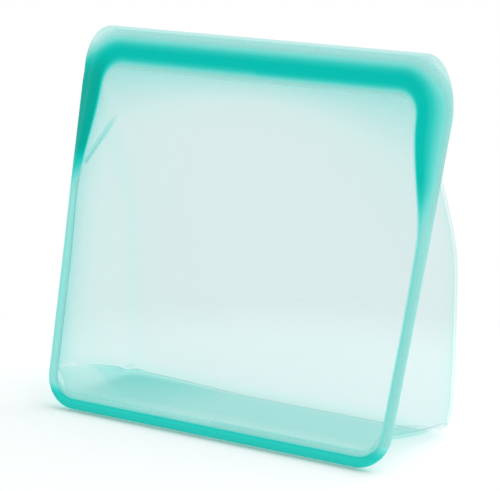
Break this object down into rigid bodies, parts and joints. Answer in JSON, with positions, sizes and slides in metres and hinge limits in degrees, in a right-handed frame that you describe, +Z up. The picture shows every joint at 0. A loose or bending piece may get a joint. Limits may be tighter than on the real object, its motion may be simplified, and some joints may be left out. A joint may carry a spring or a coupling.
{
  "type": "reusable silicone bag",
  "caption": "Stand-up food storage bag of translucent silicone with a leaning front panel in a thick rim, side gussets, flat base and a rib-and-groove press closure.",
  "frame": {"origin": "centre of the bag's footprint on the surface it stands on", "axes": "+X to the bag's right seen from the front, +Y to the back, +Z up; the front panel faces -Y"},
  "size_m": [0.1954, 0.0733, 0.1739],
  "materials": {
    "clear_silicone": "satin translucent",
    "rim_silicone": "satin translucent",
    "lip_silicone": "satin translucent"
  },
  "bodies": {
    "pouch": {"bottom_rim": "rim_silicone", "left_rim": "rim_silicone", "right_rim": "rim_silicone", "left_gusset": "clear_silicone", "right_gusset": "clear_silicone", "base_panel": "clear_silicone", "rear_fold": "clear_silicone"},
    "front_wall": {"front_panel": "clear_silicone", "front_seal_track": "rim_silicone", "front_lip": "lip_silicone"},
    "rear_wall": {"rear_wall": "clear_silicone", "rear_seal_rib": "rim_silicone", "rear_lip": "lip_silicone"}
  },
  "joints": [
    {"name": "front_open", "type": "hinge", "parent": "pouch", "child": "front_wall", "pos_m": [0, -0.03321, 0.00557], "axis": [1, 0, 0], "range_deg": [0, 12], "stiffness_Nm_per_rad": 0.15},
    {"name": "rear_open", "type": "hinge", "parent": "pouch", "child": "rear_wall", "pos_m": [0, 0.03361, 0.0068], "axis": [-1, 0, 0], "range_deg": [0, 12], "stiffness_Nm_per_rad": 0.15}
  ]
}
